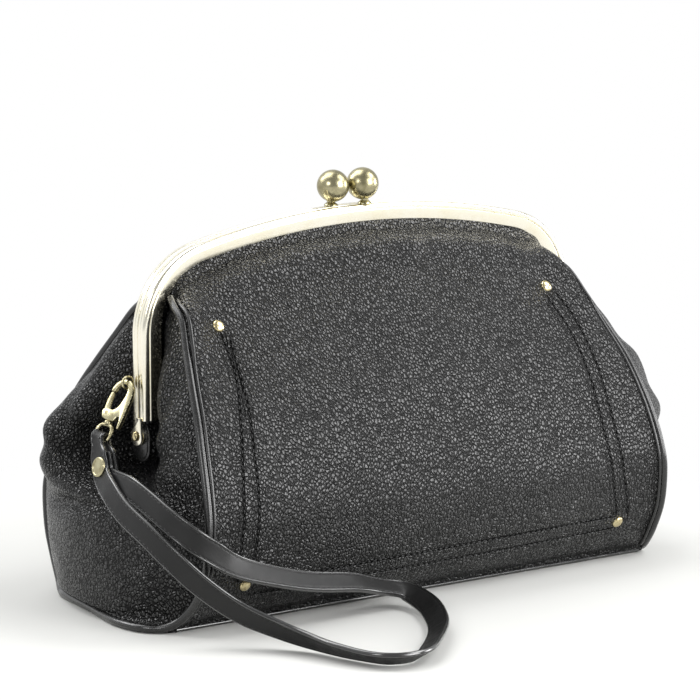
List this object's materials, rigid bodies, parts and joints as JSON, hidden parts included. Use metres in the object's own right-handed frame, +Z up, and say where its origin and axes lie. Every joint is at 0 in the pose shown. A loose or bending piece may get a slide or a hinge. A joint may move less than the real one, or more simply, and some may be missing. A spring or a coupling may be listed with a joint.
{
  "type": "kiss-lock clutch bag",
  "caption": "Soft leather clutch on a hinged metal frame with a two-ball kiss lock, piped seams and a clip-on wrist strap.",
  "frame": {"origin": "middle of the base, on the surface that the bag stands on", "axes": "+X along the bag to its right seen from the front, -Y to the front, +Z up"},
  "size_m": [0.2828, 0.2107, 0.1765],
  "materials": {
    "base_board": "pressed board",
    "base_panel": "smooth black leather",
    "front_clasp_ball": "brushed antique brass",
    "front_clasp_post": "brushed antique brass",
    "front_frame": "brushed antique brass",
    "front_frame_cord": "twisted paper",
    "front_left_piping": "smooth black leather",
    "front_lining": "woven lining",
    "front_panel": "pebble-grained black leather",
    "front_right_piping": "smooth black leather",
    "gate_pin": "pale brushed antique brass",
    "left_gusset": "pebble-grained black leather",
    "left_hinge_patch": "smooth black leather",
    "left_hinge_rivet": "pale brushed antique brass",
    "left_side_lining": "woven lining",
    "lower_left_stud": "pale brushed antique brass",
    "lower_right_stud": "pale brushed antique brass",
    "rear_clasp_ball": "brushed antique brass",
    "rear_clasp_post": "brushed antique brass",
    "rear_frame": "brushed antique brass",
    "rear_frame_cord": "twisted paper",
    "rear_left_piping": "smooth black leather",
    "rear_lining": "woven lining",
    "rear_panel": "pebble-grained black leather",
    "rear_right_piping": "smooth black leather",
    "right_gusset": "pebble-grained black leather",
    "right_hinge_patch": "smooth black leather",
    "right_hinge_rivet": "pale brushed antique brass",
    "right_side_lining": "woven lining",
    "slip_pocket": "woven lining",
    "snap_gate": "pale brushed antique brass",
    "snap_hook": "pale brushed antique brass",
    "strap_ring": "brushed antique brass",
    "strap_rivet": "pale brushed antique brass",
    "swivel_eye": "pale brushed antique brass",
    "upper_left_stud": "pale brushed antique brass",
    "upper_right_stud": "pale brushed antique brass",
    "wrist_strap": "smooth black leather"
  },
  "bodies": {
    "bag": {"base_board": "base_board", "base_panel": "base_panel", "front_left_piping": "front_left_piping", "front_lining": "front_lining", "front_panel": "front_panel", "front_right_piping": "front_right_piping", "left_gusset": "left_gusset", "left_hinge_patch": "left_hinge_patch", "left_hinge_rivet": "left_hinge_rivet", "left_side_lining": "left_side_lining", "lower_left_stud": "lower_left_stud", "lower_right_stud": "lower_right_stud", "rear_clasp_ball": "rear_clasp_ball", "rear_clasp_post": "rear_clasp_post", "rear_frame": "rear_frame", "rear_frame_cord": "rear_frame_cord", "rear_left_piping": "rear_left_piping", "rear_lining": "rear_lining", "rear_panel": "rear_panel", "rear_right_piping": "rear_right_piping", "right_gusset": "right_gusset", "right_hinge_patch": "right_hinge_patch", "right_hinge_rivet": "right_hinge_rivet", "right_side_lining": "right_side_lining", "slip_pocket": "slip_pocket", "strap_ring": "strap_ring", "upper_left_stud": "upper_left_stud", "upper_right_stud": "upper_right_stud"},
    "front_frame_half": {"front_frame": "front_frame", "front_clasp_ball": "front_clasp_ball", "front_clasp_post": "front_clasp_post", "front_frame_cord": "front_frame_cord"},
    "hook": {"snap_hook": "snap_hook", "gate_pin": "gate_pin"},
    "gate": {"snap_gate": "snap_gate"},
    "strap": {"swivel_eye": "swivel_eye", "wrist_strap": "wrist_strap", "strap_rivet": "strap_rivet"}
  },
  "joints": [
    {"name": "frame_hinge", "type": "hinge", "parent": "bag", "child": "front_frame_half", "pos_m": [0, 0, 0.0733], "axis": [1, 0, 0], "range_deg": [0, 60], "deforming": ["front_panel", "front_left_piping", "front_right_piping", "left_gusset", "right_gusset", "front_lining", "left_side_lining", "right_side_lining", "upper_left_stud", "upper_right_stud"]},
    {"name": "hook_turn", "type": "hinge", "parent": "bag", "child": "hook", "pos_m": [-0.11979, 0.00221, 0.09176], "axis": [-0.9889, 0, 0.1483], "range_deg": [0, 55]},
    {"name": "gate_spring", "type": "hinge", "parent": "hook", "child": "gate", "pos_m": [-0.12586, 0.00473, 0.08368], "axis": [0.8101, 0.2477, -0.5314], "range_deg": [0, 25], "stiffness_Nm_per_rad": 0.004},
    {"name": "swivel", "type": "hinge", "parent": "hook", "child": "strap", "pos_m": [-0.12688, 0.00197, 0.08084], "axis": [-0.5443, -0.019, -0.8387], "range_deg": [0, 90]}
  ]
}
